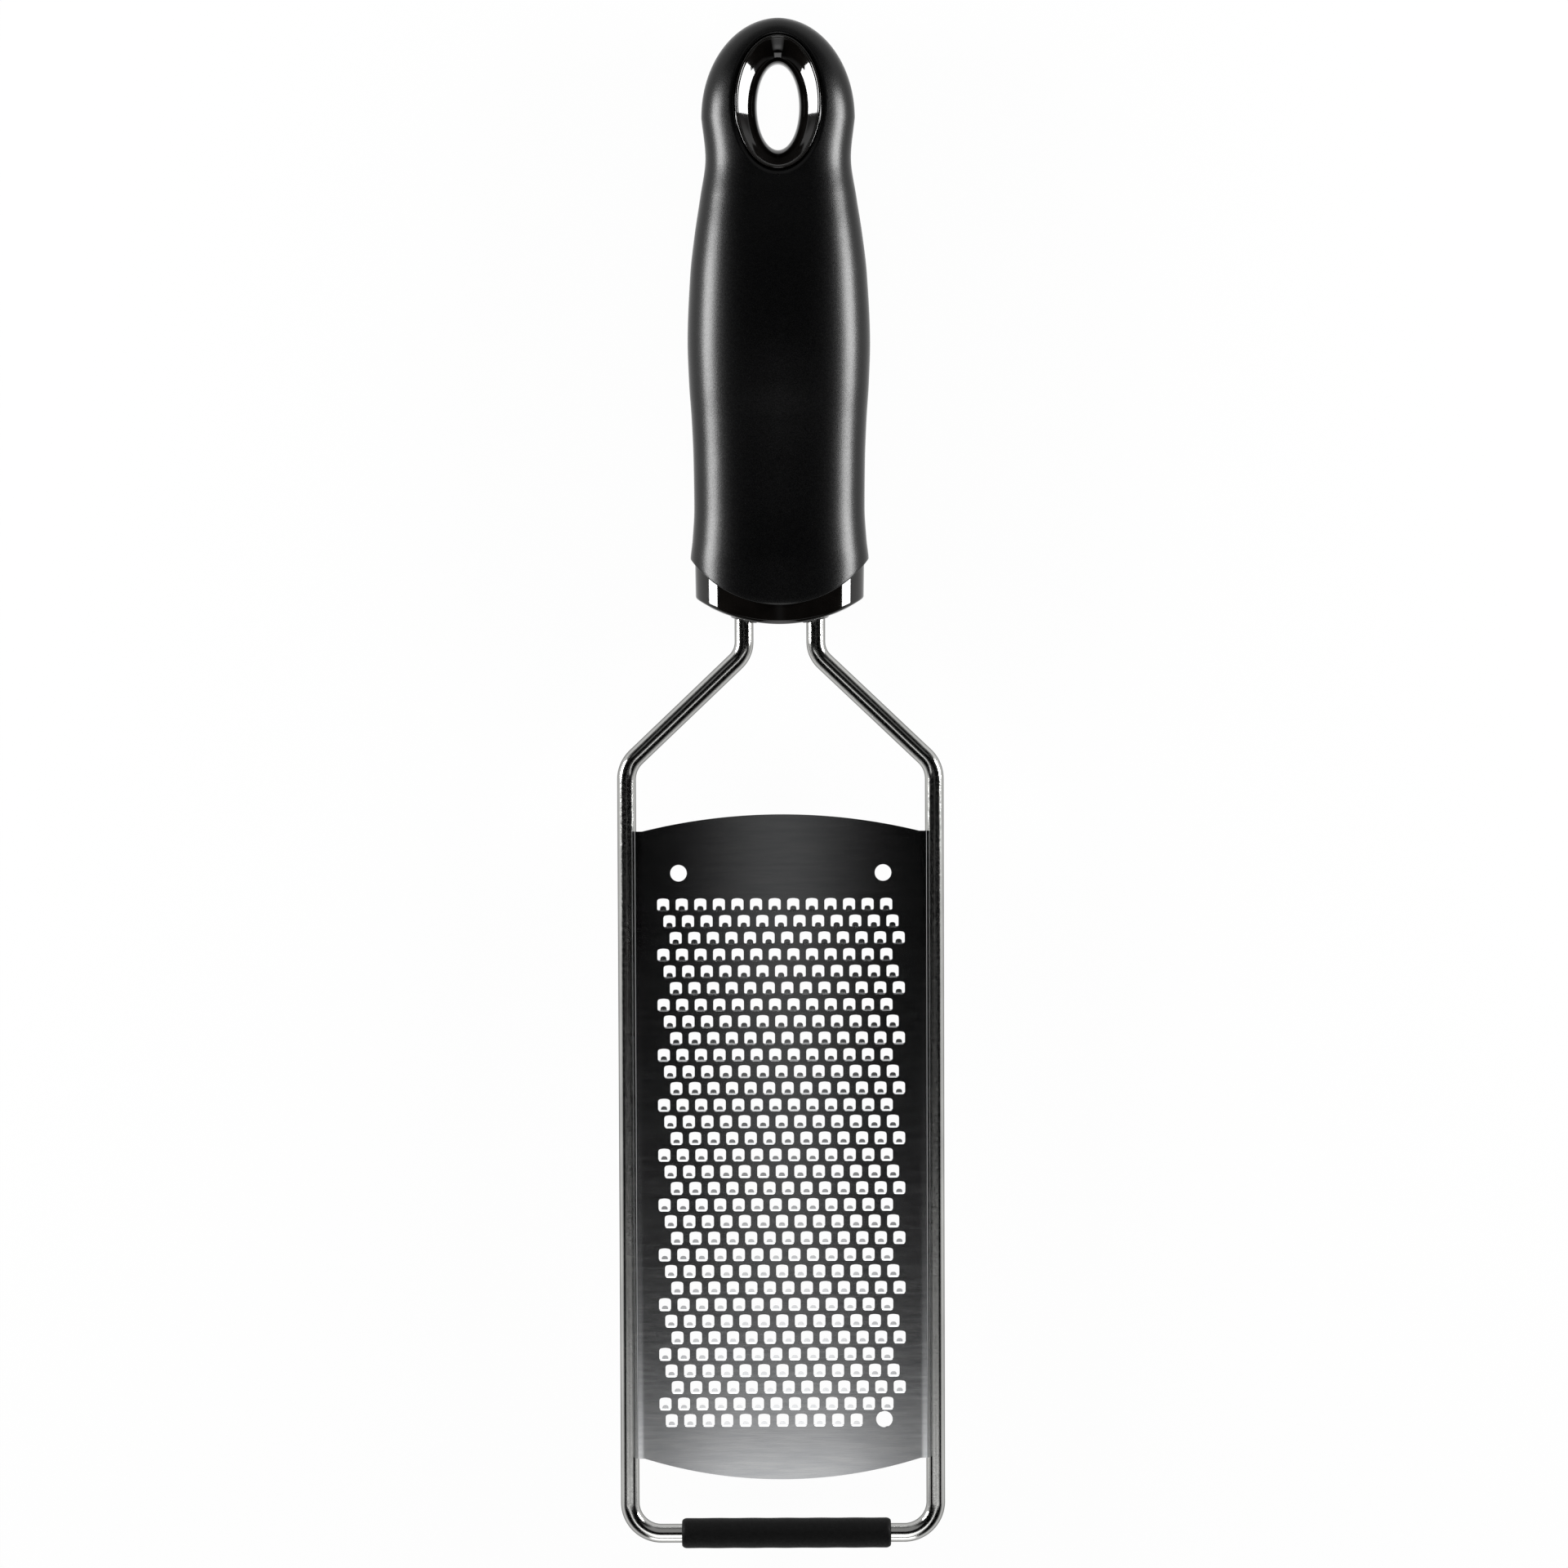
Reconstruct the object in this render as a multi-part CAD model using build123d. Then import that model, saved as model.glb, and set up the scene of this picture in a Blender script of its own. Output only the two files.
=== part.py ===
from build123d import *
import math
import os

# A rasp zester laid flat with its teeth up: X runs across, Y points to the hang hole, Z points up.
# The origin is the middle of the footprint, at the level of the underside of the grip.
# All lengths are in millimetres. A station is a distance from the hang hole's end of the handle.

# Handle, and where its stations lie along it
handle_length = 121.5
loop_share = 0.164
neck_share = 0.23
belly_share = 0.535
waist_share = 0.808
lip_share = 0.895

# Handle, widths and thicknesses at those stations
loop_width, loop_thickness = 30.9, 17.4
neck_width, neck_thickness = 29.3, 17.8
belly_width, belly_thickness = 36.8, 23.0
waist_width, waist_thickness = 34.4, 21.2
lip_width, lip_thickness = 36.0, 22.0

# How the outline goes from one station to the next: share of the way, share of the change
rise_shares = ((0.21, 0.285), (0.42, 0.605), (0.63, 0.84))
fall_shares = ((0.24, 0.22), (0.47, 0.64), (0.71, 0.91))
flare_shares = ((0.6, 0.45),)

# The rounded end is cut into sections at these angles; a power under 1 keeps it full in side view
dome_angles = (3, 16, 30, 45, 60, 75)
dome_power_share = 0.7

# Sleeve and rigid core
sleeve_wall = 2.0
core_wall = 2.4
lip_reach = 8.9
moulded_gap = 0.1

# Collar
collar_back_width, collar_back_thickness = 34.5, 20.6
collar_front_width, collar_front_thickness = 33.7, 20.0
collar_end_rise = 4.7
collar_edge = 0.7

# Core inside: tenon in the collar, cross ribs, and pins that locate the two halves
tenon_width, tenon_thickness = 25.0, 14.0
tenon_end_wall = 3.8
rib_thickness = 2.2
rib_shares = (0.33, 0.43, 0.585, 0.685, 0.78)
pin_shares = (0.38, 0.635, 0.83)
pin_diameter = 3.0
pin_length = 4.0
pin_gap = 0.1
boss_diameter = 6.4

# Hang hole: the ring's outline, its bell mouth and the narrow waist halfway through
ring_station_share = 0.142
ring_width, ring_length = 17.2, 26.8
ring_sink = 0.4
waist_opening_share = 0.147
waist_opening_width, waist_opening_length = 9.0, 18.2
mouth_margin = 0.2
mouth_height = 8.2
mouth_shares = ((0.3, 0.04), (0.62, 0.27), (0.84, 0.62))

# Wire frame: one rod, bent in the plane halfway up the handle
rod_diameter = 3.8
frame_width = 66.1
frame_reach = 188.5
tang_spacing = 14.5
neck_bend_reach = 6.1
shoulder_reach = 28.8
neck_bend_radius = 5.5
shoulder_bend_radius = 6.3
corner_bend_radius = 6.4
tang_depth_share = 0.477
hook_length = 6.0
hook_bend_radius = 3.6
rod_gap = 0.1

# Blade sheet, with its long sides folded down on to the rods
sheet_thickness = 0.4
blade_start_reach = 41.9
blade_end_clearance = 18.9
start_arch_rise = 3.4
end_arch_rise = 4.3
arch_land = 1.3
fold_angle = 60
fold_radius = 0.8
flange_length = 0.7
seat_gap = 0.05

# Round holes in the blade
round_hole_diameter = 3.35
start_hole_inset = 8.45
hole_web = 0.3

# Teeth: rows across the blade, each shifted by a third of the pitch in turn
teeth_per_row = 13
tooth_rows = 32
side_tooth_inset = 5.51
first_row_inset = 14.75
last_row_inset = 7.95
window_width_share, window_length_share = 0.665, 0.71
window_arch_share = 0.4
tooth_root_share, tooth_tip_share = 0.5, 0.32
tooth_reach_share = 0.4
tooth_rise = 0.5
tooth_edge = 0.12

# Welds along each folded side
welds_per_side = 8
weld_length = 3.0
weld_leg = 0.5
weld_end_inset = 6.0

# Rubber foot on the end of the frame
foot_wall = 1.1
foot_length = 42.6
foot_edge = 1.2
foot_gap = 0.05

# How far a cutting body runs past what it cuts
overrun = 2.0

overall_length = handle_length + frame_reach
loop_station = loop_share * handle_length
belly_station = belly_share * handle_length
waist_station = waist_share * handle_length
lip_station = lip_share * handle_length
ring_station = ring_station_share * handle_length
waist_opening_station = waist_opening_share * handle_length
tang_depth = tang_depth_share * handle_length
mid_height = belly_thickness / 2
lip_radius = (lip_width ** 2 / 4 + lip_reach ** 2) / (2 * lip_reach)
collar_end_radius = (collar_front_width ** 2 / 4 + collar_end_rise ** 2) / (2 * collar_end_rise)
rod_radius = rod_diameter / 2
rod_x = frame_width / 2 - rod_radius
tang_x = tang_spacing / 2
foot_radius = rod_radius + foot_gap + foot_wall
end_rod_reach = frame_reach - foot_radius
blade_side_length = frame_reach - blade_end_clearance - blade_start_reach


def y_at(station):
    """The Y of a station, counted from the hang hole's end."""
    return overall_length / 2 - station


def y_past_collar(reach):
    """The Y of a place on the frame, counted from the end of the collar."""
    return y_at(handle_length + reach)


def grip_sections(inset):
    """Stations, widths and thicknesses down the handle, all drawn in by one wall."""
    rows = []
    for angle in dome_angles:
        turn = math.radians(angle)
        length = loop_station - inset
        rows.append((
            loop_station - length * math.cos(turn),
            (loop_width - 2 * inset) * math.sin(turn),
            (loop_thickness - 2 * inset) * math.sin(turn) ** dome_power_share,
        ))
    stages = (
        (loop_station, loop_width, loop_thickness, ()),
        (neck_share * handle_length, neck_width, neck_thickness, ()),
        (belly_station, belly_width, belly_thickness, rise_shares),
        (waist_station, waist_width, waist_thickness, fall_shares),
        (lip_station, lip_width, lip_thickness, flare_shares),
        (handle_length + overrun, lip_width, lip_thickness, ()),
    )
    before = None
    for station, width, thickness, shares in stages:
        for way, change in shares:
            rows.append((
                before[0] + way * (station - before[0]),
                before[1] + change * (width - before[1]) - 2 * inset,
                before[2] + change * (thickness - before[2]) - 2 * inset,
            ))
        rows.append((station, width - 2 * inset, thickness - 2 * inset))
        before = (station, width, thickness)
    return rows


def oval_face(station, width, thickness):
    """An oval across the handle at one station."""
    plane = Plane(origin=(0, y_at(station), mid_height), x_dir=(1, 0, 0), z_dir=(0, -1, 0))
    return plane * Ellipse(width / 2, thickness / 2)


def grip_body(inset):
    """The handle's rounded body, drawn in by one wall."""
    return loft([oval_face(*row) for row in grip_sections(inset)])


def end_cutter(front_station, radius):
    """What lies past a rounded end face: everything outside one upright cylinder."""
    size = 2 * handle_length
    far = Pos(0, y_at(front_station) - size / 2 + radius, mid_height) * Box(size, size, size)
    round_end = Pos(0, y_at(front_station) + radius, mid_height) * Cylinder(radius, 2 * size)
    return far - round_end


def upright_oval(station, width, length, height):
    """An upright oval column through the hang hole, centred halfway up the handle."""
    column = Pos(0, y_at(station), mid_height) * Ellipse(width / 2, length / 2)
    return extrude(column, amount=height / 2, both=True)


def tang_rods(gap):
    """The two straight tangs as bodies, swollen by a gap, to cut their seats."""
    length = tang_depth - hook_length + neck_bend_reach
    middle = y_at(handle_length - tang_depth + hook_length) - length / 2
    rod = Rot(90, 0, 0) * Cylinder(rod_radius + gap, length)
    return [Pos(side * tang_x, middle, mid_height) * rod for side in (-1, 1)]


def make_sleeve():
    """The soft sleeve over the core, open at the hang hole and at the collar."""
    sleeve = grip_body(0) - end_cutter(lip_station + lip_reach, lip_radius)
    sleeve -= grip_body(sleeve_wall - moulded_gap)
    hole = upright_oval(ring_station, ring_width + 2 * moulded_gap, ring_length + 2 * moulded_gap,
                        2 * belly_thickness)
    return sleeve - hole


def core_tenon(gap):
    """The oval tenon that carries the collar."""
    start = oval_face(belly_station, tenon_width + 2 * gap, tenon_thickness + 2 * gap)
    return extrude(start, amount=handle_length - tenon_end_wall + gap - belly_station)


def core_hollow():
    """The hollow inside the core, less the ribs and the bosses of the locating pins."""
    hollow = grip_body(sleeve_wall + core_wall)
    hollow -= end_cutter(lip_station + lip_reach - core_wall, lip_radius)
    hollow -= upright_oval(ring_station, ring_width + 2 * core_wall, ring_length + 2 * core_wall,
                           belly_thickness)
    rib = Box(belly_width, rib_thickness, belly_thickness)
    hollow -= [Pos(0, y_at(share * handle_length), mid_height) * rib for share in rib_shares]
    boss = Cylinder(boss_diameter / 2, belly_thickness)
    hollow -= [Pos(0, y_at(share * handle_length), mid_height) * boss for share in pin_shares]
    return hollow


def make_core_halves():
    """The two rigid shells, split halfway up, that trap the tangs and their hooks."""
    core = grip_body(sleeve_wall) - end_cutter(lip_station + lip_reach, lip_radius)
    core += core_tenon(0)
    core -= upright_oval(ring_station, ring_width + 2 * moulded_gap, ring_length + 2 * moulded_gap,
                         belly_thickness)
    core -= core_hollow()
    core -= tang_rods(rod_gap)
    core -= hook_pockets()
    split_plane = Plane.XY.offset(mid_height)
    front = split(core, bisect_by=split_plane, keep=Keep.TOP)
    rear = split(core, bisect_by=split_plane, keep=Keep.BOTTOM)
    pin = Cylinder(pin_diameter / 2, pin_length)
    socket = Cylinder(pin_diameter / 2 + pin_gap, pin_length + pin_gap)
    for share in pin_shares:
        seat = Pos(0, y_at(share * handle_length), mid_height - pin_length / 2)
        front += seat * pin
        rear -= Pos(0, 0, -pin_gap / 2) * seat * socket
    return front, rear


def hook_pockets():
    """Room in the core for the outward hooks at the ends of the tangs."""
    height = rod_diameter + 2 * rod_gap
    width = hook_length + height
    length = hook_bend_radius + height
    top = y_at(handle_length - tang_depth) + height / 2
    pocket = Box(width, length, height)
    return [Pos(side * (tang_x + hook_length / 2), top - length / 2, mid_height) * pocket
            for side in (-1, 1)]


def make_collar():
    """The collar between the sleeve's lip and the rods, with a seat for the core's tenon."""
    back = oval_face(waist_station, collar_back_width, collar_back_thickness)
    front = oval_face(handle_length + overrun, collar_front_width, collar_front_thickness)
    collar = loft([back, front]) - end_cutter(handle_length, collar_end_radius)
    rim = collar.edges().filter_by(GeomType.PLANE, reverse=True).sort_by(Axis.Y)[:2]
    collar = fillet(rim, collar_edge)
    middle = y_at(lip_station + lip_reach) + lip_radius
    collar -= Pos(0, middle, mid_height) * Cylinder(lip_radius + moulded_gap, 2 * belly_thickness)
    collar -= core_tenon(moulded_gap)
    return collar - tang_rods(rod_gap)


def make_ring_halves():
    """The two glossy halves of the ring that line the hang hole."""
    blank = upright_oval(ring_station, ring_width, ring_length, 2 * belly_thickness)
    blank = blank & grip_body(ring_sink)
    mouth_width, mouth_length = ring_width + 2 * mouth_margin, ring_length + 2 * mouth_margin
    halves = []
    for side in (1, -1):
        sections = []
        steps = ((0, 0),) + mouth_shares + ((1, 1),)
        for height, change in steps:
            width = waist_opening_width + change * (mouth_width - waist_opening_width)
            length = waist_opening_length + change * (mouth_length - waist_opening_length)
            station = waist_opening_station + change * (ring_station - waist_opening_station)
            level = mid_height + side * height * mouth_height
            sections.append(Pos(0, y_at(station), level) * Ellipse(width / 2, length / 2))
        last = sections[-1]
        mouth = loft(sections) + extrude(last, amount=side * belly_thickness)
        keep = Keep.TOP if side > 0 else Keep.BOTTOM
        half = split(blank, bisect_by=Plane.XY.offset(mid_height), keep=keep)
        halves.append(half - mouth)
    return halves


def make_frame_rod():
    """The bent rod: hook, tang, shoulder, side, end, and back up the other side."""
    hook_y = y_at(handle_length - tang_depth)
    end_y = y_past_collar(end_rod_reach)
    half = [
        (tang_x + hook_length, hook_y),
        (tang_x, hook_y),
        (tang_x, y_past_collar(neck_bend_reach)),
        (rod_x, y_past_collar(shoulder_reach)),
        (rod_x, end_y),
    ]
    points = half + [(-x, y) for x, y in reversed(half)]
    bends = [hook_bend_radius, neck_bend_radius, shoulder_bend_radius, corner_bend_radius]
    radii = bends + bends[::-1]
    with BuildPart() as rod:
        with BuildLine(Plane.XY.offset(mid_height)) as route:
            FilletPolyline(*points, radius=radii)
        with BuildSketch(Plane(origin=route.line @ 0, z_dir=route.line % 0)):
            Circle(rod_radius)
        sweep(path=route.line)
    return rod.part


def fold_profile():
    """Places on a folded side, in X and Z: where the fold starts, and its two edges at the rod."""
    fold = math.radians(fold_angle)
    along = Vector(math.cos(fold), -math.sin(fold))
    out = Vector(math.sin(fold), math.cos(fold))
    seat = Vector(rod_x, mid_height) - along * (rod_radius + seat_gap)
    cut_top = seat + out * (sheet_thickness / 2)
    cut_bottom = seat - out * (sheet_thickness / 2)
    fold_end_top = cut_top - along * flange_length
    fold_end_bottom = cut_bottom - along * flange_length
    centre = fold_end_top - out * fold_radius
    middle = Vector(math.sin(fold / 2), math.cos(fold / 2))
    return {
        "face_top": centre + Vector(0, fold_radius),
        "bend_top": centre + middle * fold_radius,
        "fold_end_top": fold_end_top,
        "cut_top": cut_top,
        "cut_bottom": cut_bottom,
        "fold_end_bottom": fold_end_bottom,
        "bend_bottom": centre + middle * (fold_radius - sheet_thickness),
        "face_bottom": centre + Vector(0, fold_radius - sheet_thickness),
    }


def flange_edges(places, side, y):
    """The folded side's outline at one end of the blade, without the line it shares with the face."""
    at = {name: Vector(side * place.X, y, place.Y) for name, place in places.items()}
    return [
        Edge.make_three_point_arc(at["face_top"], at["bend_top"], at["fold_end_top"]),
        Edge.make_line(at["fold_end_top"], at["cut_top"]),
        Edge.make_line(at["cut_top"], at["cut_bottom"]),
        Edge.make_line(at["cut_bottom"], at["fold_end_bottom"]),
        Edge.make_three_point_arc(at["fold_end_bottom"], at["bend_bottom"], at["face_bottom"]),
    ]


def blade_outline(places, z):
    """The blade face's outline: two straight sides, two arched ends with short level lands."""
    x = places["face_top"].X
    land = x - arch_land
    start_y = y_past_collar(blade_start_reach)
    end_y = start_y - blade_side_length
    return [
        Edge.make_line((x, end_y, z), (x, start_y, z)),
        Edge.make_line((x, start_y, z), (land, start_y, z)),
        Edge.make_three_point_arc((land, start_y, z), (0, start_y + start_arch_rise, z),
                                  (-land, start_y, z)),
        Edge.make_line((-land, start_y, z), (-x, start_y, z)),
        Edge.make_line((-x, start_y, z), (-x, end_y, z)),
        Edge.make_line((-x, end_y, z), (-land, end_y, z)),
        Edge.make_three_point_arc((-land, end_y, z), (0, end_y - end_arch_rise, z),
                                  (land, end_y, z)),
        Edge.make_line((land, end_y, z), (x, end_y, z)),
    ]


def tooth_sizes():
    """The pitches of the teeth, across and along, and the width and length of a window."""
    half_field = fold_profile()["face_top"].X - side_tooth_inset
    pitch = half_field / ((teeth_per_row - 1) / 2 + 1 / 3)
    field = blade_side_length - first_row_inset - last_row_inset
    row_pitch = field / (tooth_rows - 1)
    return pitch, row_pitch, window_width_share * pitch, window_length_share * row_pitch


def window_edges(z):
    """A tooth's window, arched towards the handle; the last edge is the tooth's root."""
    width, length = tooth_sizes()[2:]
    x, root = width / 2, tooth_root_share * width / 2
    low, high = -length / 2, length / 2
    spring = high - window_arch_share * length
    return [
        Edge.make_line((root, low, z), (x, low, z)),
        Edge.make_line((x, low, z), (x, spring, z)),
        Edge.make_three_point_arc((x, spring, z), (0, high, z), (-x, spring, z)),
        Edge.make_line((-x, spring, z), (-x, low, z)),
        Edge.make_line((-x, low, z), (-root, low, z)),
        Edge.make_line((-root, low, z), (root, low, z)),
    ]


def flat_face(*corners):
    """A face through its corners."""
    return Face(Wire.make_polygon(list(corners), close=True))


def tooth_faces(bottom, top):
    """The walls of one window and the tooth that is raised from its lower edge."""
    width, length = tooth_sizes()[2:]
    walls = [Face.extrude(edge, (0, 0, top - bottom)) for edge in window_edges(bottom)[:-1]]
    root, tip = tooth_root_share * width / 2, tooth_tip_share * width / 2
    low = -length / 2
    point = low + tooth_reach_share * length
    crest = top + tooth_rise
    left = [(-root, low, bottom), (-root, low, top), (-tip, point, crest),
            (-tip, point, crest - tooth_edge)]
    right = [(-x, y, z) for x, y, z in left]
    for i, j in ((1, 2), (2, 3), (3, 0)):
        walls.append(flat_face(left[i], left[j], right[j], right[i]))
    walls.append(flat_face(*left))
    walls.append(flat_face(*right))
    return walls


def tooth_places():
    """Where each tooth stands: every place in the rows that a round hole leaves free."""
    pitch, row_pitch, width, length = tooth_sizes()
    first_y = y_past_collar(blade_start_reach + first_row_inset)
    keep_x = (round_hole_diameter + width) / 2 + hole_web
    keep_y = (round_hole_diameter + length) / 2 + hole_web
    places = []
    for row in range(tooth_rows):
        shift = (row % 3 - 1) * pitch / 3
        for column in range(teeth_per_row):
            x = (column - (teeth_per_row - 1) / 2) * pitch + shift
            y = first_y - row * row_pitch
            if all(abs(x - hole.X) > keep_x or abs(y - hole.Y) > keep_y
                   for hole in round_hole_centres()):
                places.append(Location((x, y, 0)))
    return places


def round_hole_centres():
    """The three round holes: a pair at the handle's end, and one midway between the last
    row's two outer places on the right."""
    x = (teeth_per_row - 2) / 2 * tooth_sizes()[0]
    start_y = y_past_collar(blade_start_reach)
    pair_y = start_y - start_hole_inset
    end_y = start_y - blade_side_length + last_row_inset
    return [Vector(-x, pair_y), Vector(x, pair_y), Vector(x, end_y)]


def make_blade():
    """The toothed sheet, closed up from its faces as one solid."""
    places = fold_profile()
    top, bottom = places["face_top"].Y, places["face_bottom"].Y
    teeth, holes = tooth_places(), [Location(centre) for centre in round_hole_centres()]
    faces = []
    for z in (bottom, top):
        window = Wire(window_edges(z))
        hole = Wire(Edge.make_circle(round_hole_diameter / 2, Plane.XY.offset(z)))
        cuts = [window.moved(place) for place in teeth] + [hole.moved(place) for place in holes]
        faces.append(Face(Wire(blade_outline(places, z)), cuts))
    liner = tooth_faces(bottom, top)
    for place in teeth:
        faces += [face.moved(place) for face in liner]
    depth = (0, 0, top - bottom)
    hole_wall = Face.extrude(Edge.make_circle(round_hole_diameter / 2, Plane.XY.offset(bottom)), depth)
    faces += [hole_wall.moved(place) for place in holes]
    outline = blade_outline(places, bottom)
    faces += [Face.extrude(outline[i], depth) for i in (1, 2, 3, 5, 6, 7)]
    start_y = y_past_collar(blade_start_reach)
    for side in (1, -1):
        edges = flange_edges(places, side, start_y - blade_side_length)
        faces += [Face.extrude(edge, (0, blade_side_length, 0)) for edge in edges]
        for y in (start_y - blade_side_length, start_y):
            ends = [Vector(side * places[name].X, y, places[name].Y)
                    for name in ("face_bottom", "face_top")]
            cap = flange_edges(places, side, y) + [Edge.make_line(*ends)]
            faces.append(Face(Wire(cap)))
    return Solid(Shell(faces))


def weld_corners():
    """A weld bead's outline in X and Z: up the folded side, down to the rod, back along the rod."""
    places = fold_profile()
    fold = math.radians(fold_angle)
    along = Vector(math.cos(fold), -math.sin(fold))
    rod_centre = Vector(rod_x, mid_height)
    corner = places["cut_bottom"]
    to_corner = corner - rod_centre
    start = math.atan2(to_corner.Y, to_corner.X)
    stretch = weld_leg / rod_radius
    on_rod = []
    for angle in (start + stretch, start + stretch / 2, start):
        on_rod.append(rod_centre + Vector(math.cos(angle), math.sin(angle)) * rod_radius)
    return [corner, corner - along * weld_leg] + on_rod


def make_welds():
    """The weld beads in the corner between each folded side and its rod."""
    first_y = y_past_collar(blade_start_reach + weld_end_inset)
    step = (blade_side_length - 2 * weld_end_inset - weld_length) / (welds_per_side - 1)
    welds = []
    for side in (1, -1):
        corner, up_flange, far, middle, near = (Vector(side * place.X, first_y, place.Y)
                                                for place in weld_corners())
        outline = Wire([
            Edge.make_line(corner, up_flange),
            Edge.make_line(up_flange, far),
            Edge.make_three_point_arc(far, middle, near),
            Edge.make_line(near, corner),
        ])
        bead = Solid.extrude(Face(outline), Vector(0, -weld_length, 0))
        welds += [bead.moved(Location((0, -i * step, 0))) for i in range(welds_per_side)]
    return Compound(welds)


def make_foot():
    """The rubber foot, a rounded sleeve on the frame's end rod."""
    foot = Rot(0, 90, 0) * Cylinder(foot_radius, foot_length)
    foot = fillet(foot.edges(), foot_edge)
    bore = Rot(0, 90, 0) * Cylinder(rod_radius + foot_gap, foot_length + 2 * overrun)
    return Pos(0, y_past_collar(end_rod_reach), mid_height) * (foot - bore)


def main():
    os.makedirs("parts", exist_ok=True)
    core_front, core_rear = make_core_halves()
    ring_front, ring_rear = make_ring_halves()
    pieces = {
        "grip_sleeve": make_sleeve(),
        "core_front": core_front,
        "core_rear": core_rear,
        "collar": make_collar(),
        "hang_ring_front": ring_front,
        "hang_ring_rear": ring_rear,
        "frame_rod": make_frame_rod(),
        "blade": make_blade(),
        "blade_welds": make_welds(),
        "end_foot": make_foot(),
    }
    for name, shape in pieces.items():
        export_step(shape, f"parts/{name}.step")


main()
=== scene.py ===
import bpy
import math
import numpy as np
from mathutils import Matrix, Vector


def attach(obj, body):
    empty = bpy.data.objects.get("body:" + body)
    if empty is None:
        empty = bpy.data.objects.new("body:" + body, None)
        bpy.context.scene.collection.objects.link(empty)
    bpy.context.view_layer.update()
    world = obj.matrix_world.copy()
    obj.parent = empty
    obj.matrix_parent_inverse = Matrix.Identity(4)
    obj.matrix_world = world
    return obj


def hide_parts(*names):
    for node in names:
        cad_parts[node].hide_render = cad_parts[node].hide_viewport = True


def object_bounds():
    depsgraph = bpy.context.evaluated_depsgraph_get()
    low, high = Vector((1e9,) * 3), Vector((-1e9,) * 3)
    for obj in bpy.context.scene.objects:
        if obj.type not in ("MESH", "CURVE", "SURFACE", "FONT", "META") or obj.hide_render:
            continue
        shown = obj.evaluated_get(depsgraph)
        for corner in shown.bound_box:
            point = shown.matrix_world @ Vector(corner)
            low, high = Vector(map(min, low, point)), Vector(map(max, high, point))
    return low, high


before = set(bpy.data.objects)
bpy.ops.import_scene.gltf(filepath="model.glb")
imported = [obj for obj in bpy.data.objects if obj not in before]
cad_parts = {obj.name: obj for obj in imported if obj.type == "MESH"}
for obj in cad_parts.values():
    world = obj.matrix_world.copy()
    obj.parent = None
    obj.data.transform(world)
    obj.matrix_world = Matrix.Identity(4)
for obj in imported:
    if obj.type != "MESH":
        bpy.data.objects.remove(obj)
cad_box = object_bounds()
scene = bpy.context.scene
scene.view_settings.view_transform = "Standard"

# Shapes are written in millimetres, and turned into metres when a mesh is made. X runs across the tool,
# Y points to the hang hole and Z points up. A station is the distance from the hang hole's end.
MM = 0.001
MID = 11.5          # height of the rod's plane and of the handle's middle
TOP_Y = 155.0       # the hang hole's end of the handle
HANDLE = 121.5      # length of the handle
TURN = 2 * math.pi


def mesh_piece(name, verts, faces, material, smooth_angle):
    """Makes one mesh piece that rides on the tool, kept inside the box of the solids."""
    low, high = (np.array(corner) for corner in cad_box)
    places = np.clip(np.array(verts, float) * MM, low, high)
    mesh = bpy.data.meshes.new(name)
    mesh.from_pydata(places.tolist(), [], [list(map(int, face)) for face in faces])
    mesh.validate()
    mesh.update()
    mesh.shade_smooth()
    mesh.set_sharp_from_angle(angle=math.radians(smooth_angle))
    mesh.materials.append(material)
    piece = bpy.data.objects.new(name, mesh)
    scene.collection.objects.link(piece)
    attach(piece, "root")
    return piece


def grid_faces(rows, columns, start=0, close_columns=True, flip=False):
    """Quads between rows of points; columns wrap round when closed."""
    faces = []
    span = columns if close_columns else columns - 1
    for r in range(rows - 1):
        for c in range(span):
            a = start + r * columns + c
            b = start + r * columns + (c + 1) % columns
            quad = (a, b, b + columns, a + columns)
            faces.append(quad[::-1] if flip else quad)
    return faces


def smooth_curve(xs, ys):
    """A monotone cubic through points, as a function."""
    xs, ys = np.array(xs, float), np.array(ys, float)
    h, d = np.diff(xs), np.diff(ys) / np.diff(xs)
    m = np.zeros(len(xs))
    m[0], m[-1] = d[0], d[-1]
    for i in range(1, len(xs) - 1):
        if d[i - 1] * d[i] > 0:
            w1, w2 = 2 * h[i] + h[i - 1], h[i] + 2 * h[i - 1]
            m[i] = (w1 + w2) / (w1 / d[i - 1] + w2 / d[i])

    def value(x):
        x = np.clip(np.asarray(x, float), xs[0], xs[-1])
        i = np.clip(np.searchsorted(xs, x) - 1, 0, len(xs) - 2)
        t = (x - xs[i]) / h[i]
        return ((1 + 2 * t) * (1 - t) ** 2 * ys[i] + t * (1 - t) ** 2 * h[i] * m[i]
                + t * t * (3 - 2 * t) * ys[i + 1] + t * t * (t - 1) * h[i] * m[i + 1])
    return value


def circle(columns):
    """Even turns round a circle."""
    return np.arange(columns) / columns * TURN


def quarter(steps):
    """Even turns over a quarter of a circle, without its start."""
    return np.linspace(0, TURN / 4, steps + 1)[1:]


# ---------------------------------------------------------------- handle outline
TIP, TIP_WIDTH, TIP_THICKNESS = 19.93, 30.9, 17.4
TIP_POWER = 0.7         # under 1, so that the rounded tip stays full in side view
WAIST = 98.17
LIP, LIP_WIDTH = 108.74, 36.0
LIP_REACH = 8.9         # how far the lip bulges towards the blade
LIP_RADIUS = ((LIP_WIDTH / 2) ** 2 + LIP_REACH ** 2) / (2 * LIP_REACH)
COLLAR_END = HANDLE + 2
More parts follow.
